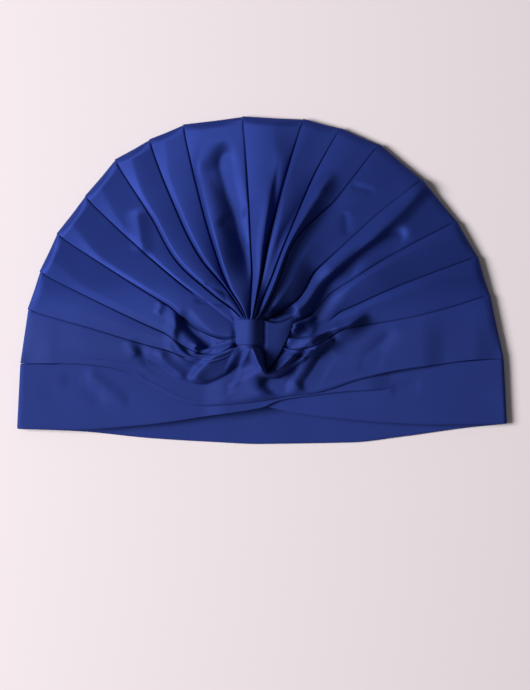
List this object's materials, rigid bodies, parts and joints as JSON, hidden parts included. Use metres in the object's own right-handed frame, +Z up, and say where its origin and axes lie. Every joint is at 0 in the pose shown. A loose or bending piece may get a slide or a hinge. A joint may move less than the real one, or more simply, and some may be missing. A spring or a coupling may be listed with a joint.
{
  "type": "turban",
  "caption": "Ready-made pleated turban of smooth stretch jersey: a crown gathered into a knot with a short loop, a plain back and a folded band that crosses over itself in front.",
  "frame": {"origin": "middle of the outline, on the surface that the turban lies on", "axes": "+X across the band, to the right as the turban lies with its knot up; +Y towards the top of the crown; +Z up, out of the front"},
  "size_m": [0.269, 0.18, 0.0304],
  "materials": {
    "crown_cloth": "smooth matte stretch jersey, royal blue",
    "back_cloth": "smooth matte stretch jersey, royal blue",
    "band_cloth": "smooth matte stretch jersey, double, royal blue",
    "loop_cloth": "smooth matte stretch jersey, royal blue"
  },
  "bodies": {
    "root": {"crown_front": "crown_cloth", "crown_back": "back_cloth", "band": "band_cloth", "knot_loop": "loop_cloth"}
  },
  "joints": []
}
